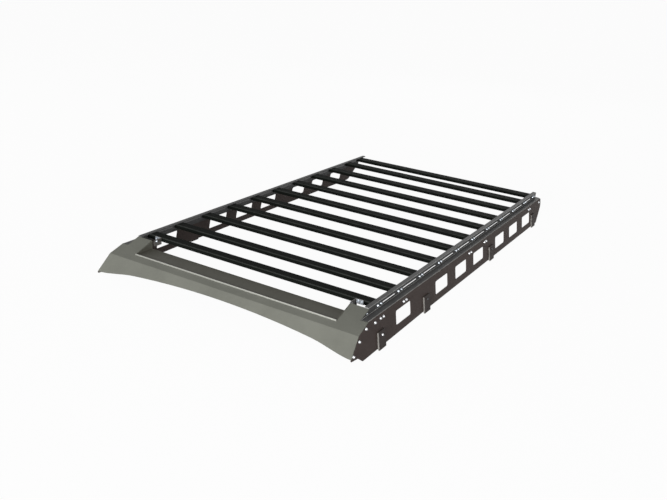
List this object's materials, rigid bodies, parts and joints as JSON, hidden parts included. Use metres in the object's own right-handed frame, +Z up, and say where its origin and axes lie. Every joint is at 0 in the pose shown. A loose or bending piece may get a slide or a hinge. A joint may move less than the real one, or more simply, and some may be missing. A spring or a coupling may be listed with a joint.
{
  "type": "expedition roof rack",
  "caption": "Flat platform roof rack of cross slats between bent side rails, with flared windowed side plates on flat bar feet and a folded wind deflector with a light bar recess.",
  "frame": {"origin": "on the floor under the soles of the front feet, midway across and midway along the rack", "axes": "+X to the rack's right side, +Y to its rear, +Z up"},
  "size_m": [1.3088, 2.293, 0.1663],
  "materials": {
    "rail_coat": "satin black powder coat",
    "plate_coat": "satin black powder coat",
    "slat_coat": "matt black powder coat",
    "deflector_coat": "satin black powder coat",
    "tray_coat": "satin black powder coat",
    "bracket_coat": "satin black powder coat",
    "trim_metal": "bare brushed metal",
    "foot_coat": "satin black powder coat",
    "fastener": "bright zinc plate"
  },
  "bodies": {
    "root": {"right_side_rail": "rail_coat", "left_side_rail": "rail_coat", "right_side_plate": "plate_coat", "left_side_plate": "plate_coat", "right_light_bar_bracket": "bracket_coat", "left_light_bar_bracket": "bracket_coat", "right_foot_1": "foot_coat", "right_foot_2": "foot_coat", "right_foot_3": "foot_coat", "right_foot_4": "foot_coat", "left_foot_1": "foot_coat", "left_foot_2": "foot_coat", "left_foot_3": "foot_coat", "left_foot_4": "foot_coat", "slat_01": "slat_coat", "slat_02": "slat_coat", "slat_03": "slat_coat", "slat_04": "slat_coat", "slat_05": "slat_coat", "slat_06": "slat_coat", "slat_07": "slat_coat", "slat_08": "slat_coat", "slat_09": "slat_coat", "slat_10": "slat_coat", "slat_11": "slat_coat", "wind_deflector": "deflector_coat", "light_bar_tray": "tray_coat", "tray_trim": "trim_metal"}
  },
  "joints": []
}
